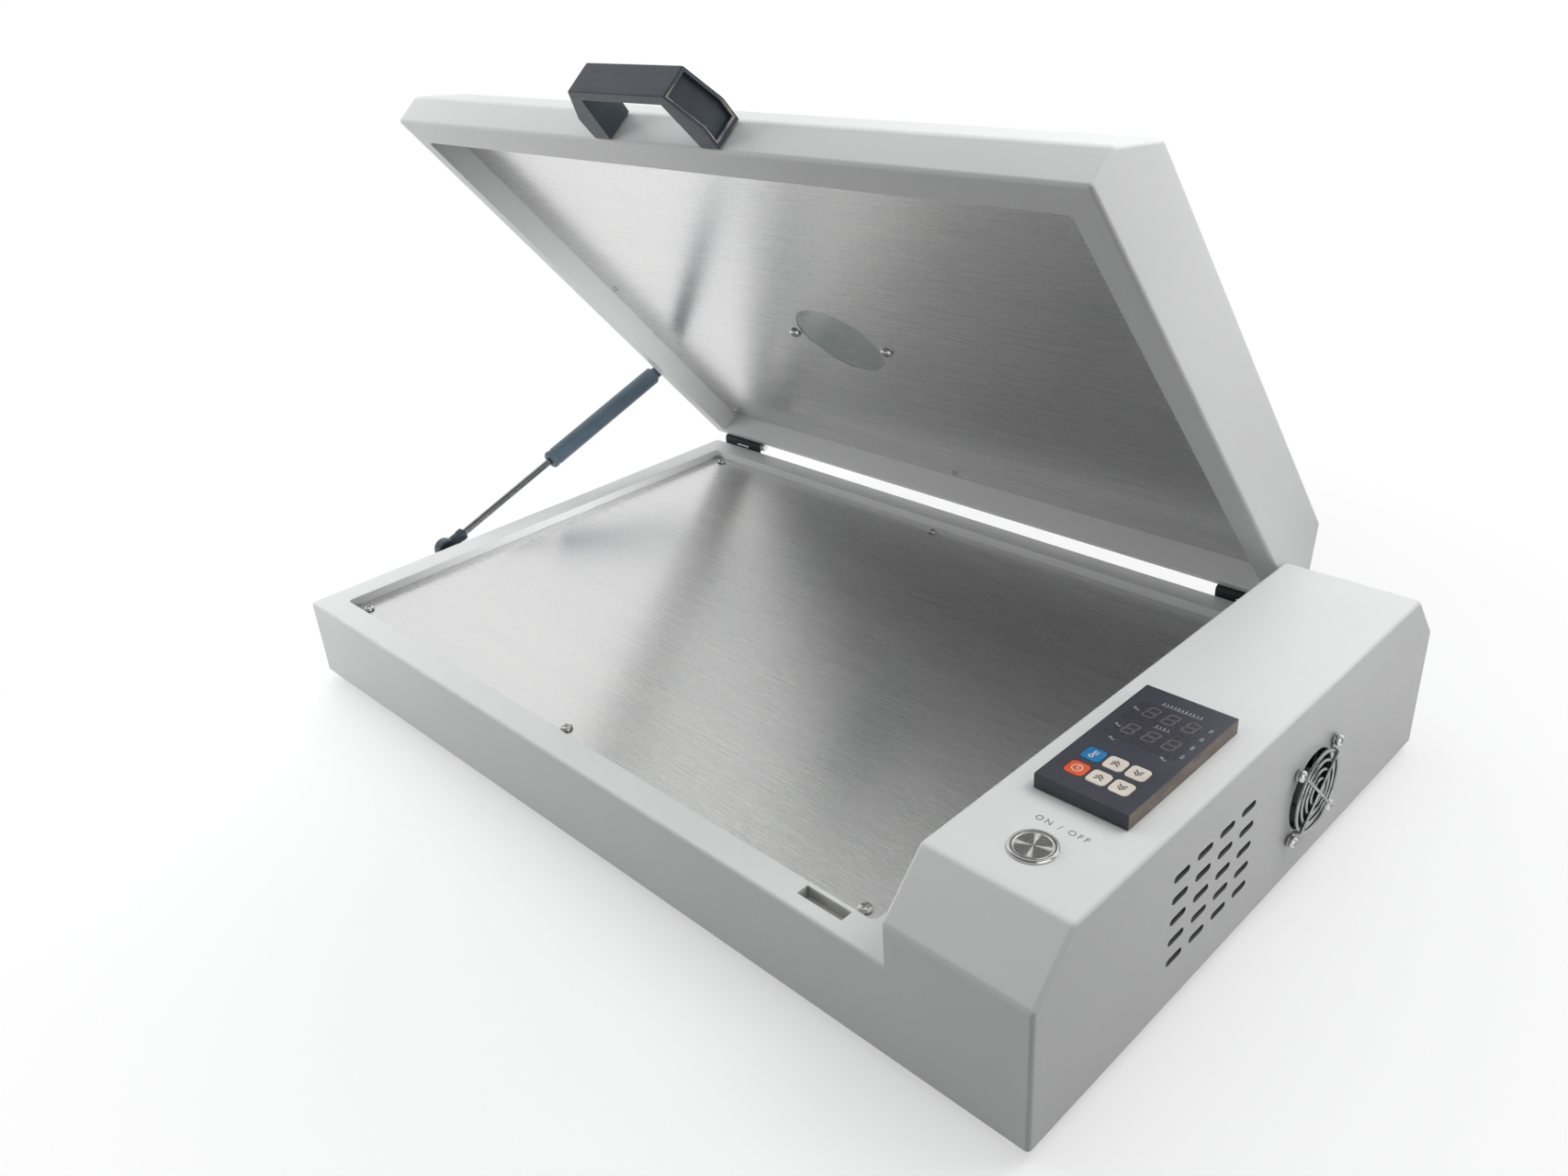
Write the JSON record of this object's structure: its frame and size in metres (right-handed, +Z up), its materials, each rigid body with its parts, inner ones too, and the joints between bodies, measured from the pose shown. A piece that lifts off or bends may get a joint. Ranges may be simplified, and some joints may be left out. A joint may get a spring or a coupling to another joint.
{
  "type": "reflow oven",
  "caption": "Bench-top clam-shell reflow oven with a flat heated bed, a heated lid on a gas strut, and a side control pod with keypad, push button, fan and vents.",
  "frame": {"origin": "centre of the whole object's box at the underside of the feet, with the lid open", "axes": "+X to the pod side, +Y from the handle to the hinges, +Z up"},
  "size_m": [0.6292, 0.4062, 0.4003],
  "materials": {
    "coat": "powder coat, satin",
    "stainless": "brushed stainless steel",
    "zinc": "zinc-plated sheet",
    "chrome": "polished",
    "slate": "moulded, fine texture",
    "strut": "satin paint",
    "hinge": "black oxide",
    "black": "moulded",
    "rubber": "matt",
    "blue": "satin",
    "red": "satin",
    "cream": "satin",
    "heater": "silicone heater mat",
    "wool": "mineral wool",
    "board": "circuit board"
  },
  "bodies": {
    "base": {"back_left_foot": "rubber", "back_right_foot": "rubber", "base_housing": "coat", "bed_heater": "heater", "bed_insulation": "wool", "bed_plate": "stainless", "bed_plate_screw_1": "chrome", "bed_plate_screw_2": "chrome", "bed_plate_screw_3": "chrome", "bed_plate_screw_4": "chrome", "bed_plate_screw_5": "chrome", "bed_plate_screw_6": "chrome", "bottom_cover": "zinc", "button_bezel": "chrome", "button_nut": "zinc", "control_board": "board", "controller_bezel": "black", "controller_case": "black", "display_window": "black", "fan_frame": "black", "fan_guard": "chrome", "fan_guard_screw_1": "chrome", "fan_guard_screw_2": "chrome", "fan_guard_screw_3": "chrome", "fan_guard_screw_4": "chrome", "front_left_foot": "rubber", "front_right_foot": "rubber", "heater_relay": "black", "left_hinge_base_leaf": "hinge", "left_hinge_pin": "chrome", "lid_switch": "black", "pod_partition": "zinc", "power_inlet": "black", "right_hinge_base_leaf": "hinge", "right_hinge_pin": "chrome", "strut_base_bracket": "hinge", "terminal_block": "cream"},
    "lid": {"lid_shell": "coat", "lid_plate": "stainless", "lid_heater": "heater", "lid_insulation": "wool", "vent_disc": "chrome", "vent_disc_screw_1": "chrome", "vent_disc_screw_2": "chrome", "handle": "slate", "left_hinge_lid_leaf": "hinge", "right_hinge_lid_leaf": "hinge", "strut_lid_bracket": "hinge"},
    "strut_rod": {"strut_rod": "chrome", "strut_rod_socket": "slate"},
    "strut_tube": {"strut_tube": "strut", "strut_tube_socket": "slate"},
    "fan_rotor": {"fan_rotor": "black"},
    "button_cap": {"button_cap": "chrome"},
    "key_blue": {"key_blue": "blue"},
    "key_high_down": {"key_high_down": "cream"},
    "key_high_up": {"key_high_up": "cream"},
    "key_low_down": {"key_low_down": "cream"},
    "key_low_up": {"key_low_up": "cream"},
    "key_red": {"key_red": "red"}
  },
  "joints": [
    {"name": "lid_hinge", "type": "hinge", "parent": "base", "child": "lid", "pos_m": [-0.03189, 0.1864, 0.0636], "axis": [1, 0, 0], "range_deg": [0, 49.5], "stiffness_Nm_per_rad": 12, "springref_deg": -103.13},
    {"name": "strut_swing", "type": "hinge", "parent": "base", "child": "strut_rod", "pos_m": [-0.30724, -0.0884, 0.0543], "axis": [1, 0, 0], "range_deg": [-11.42, 0]},
    {"name": "strut_slide", "type": "slide", "parent": "strut_rod", "child": "strut_tube", "axis": [0, 0.9421, 0.3353], "range_m": [-0.0557, 0]},
    {"name": "fan_spin", "type": "hinge", "parent": "base", "child": "fan_rotor", "pos_m": [0.29986, 0.0379, 0.0532], "axis": [1, 0, 0], "continuous": true},
    {"name": "button_press", "type": "slide", "parent": "base", "child": "button_cap", "axis": [0, 0, -1], "range_m": [0, 0.002], "stiffness_N_per_m": 900, "springref_m": -0.001},
    {"name": "key_blue_press", "type": "slide", "parent": "base", "child": "key_blue", "axis": [0, 0, -1], "range_m": [0, 0.0005], "stiffness_N_per_m": 600, "springref_m": -0.0005},
    {"name": "key_high_down_press", "type": "slide", "parent": "base", "child": "key_high_down", "axis": [0, 0, -1], "range_m": [0, 0.0005], "stiffness_N_per_m": 600, "springref_m": -0.0005},
    {"name": "key_high_up_press", "type": "slide", "parent": "base", "child": "key_high_up", "axis": [0, 0, -1], "range_m": [0, 0.0005], "stiffness_N_per_m": 600, "springref_m": -0.0005},
    {"name": "key_low_down_press", "type": "slide", "parent": "base", "child": "key_low_down", "axis": [0, 0, -1], "range_m": [0, 0.0005], "stiffness_N_per_m": 600, "springref_m": -0.0005},
    {"name": "key_low_up_press", "type": "slide", "parent": "base", "child": "key_low_up", "axis": [0, 0, -1], "range_m": [0, 0.0005], "stiffness_N_per_m": 600, "springref_m": -0.0005},
    {"name": "key_red_press", "type": "slide", "parent": "base", "child": "key_red", "axis": [0, 0, -1], "range_m": [0, 0.0005], "stiffness_N_per_m": 600, "springref_m": -0.0005}
  ],
  "couplings": [
    {"joint": "strut_swing", "follows": "lid_hinge", "ratio": -0.2287},
    {"joint": "strut_slide", "follows": "lid_hinge", "m_per_rad": -0.064189}
  ]
}
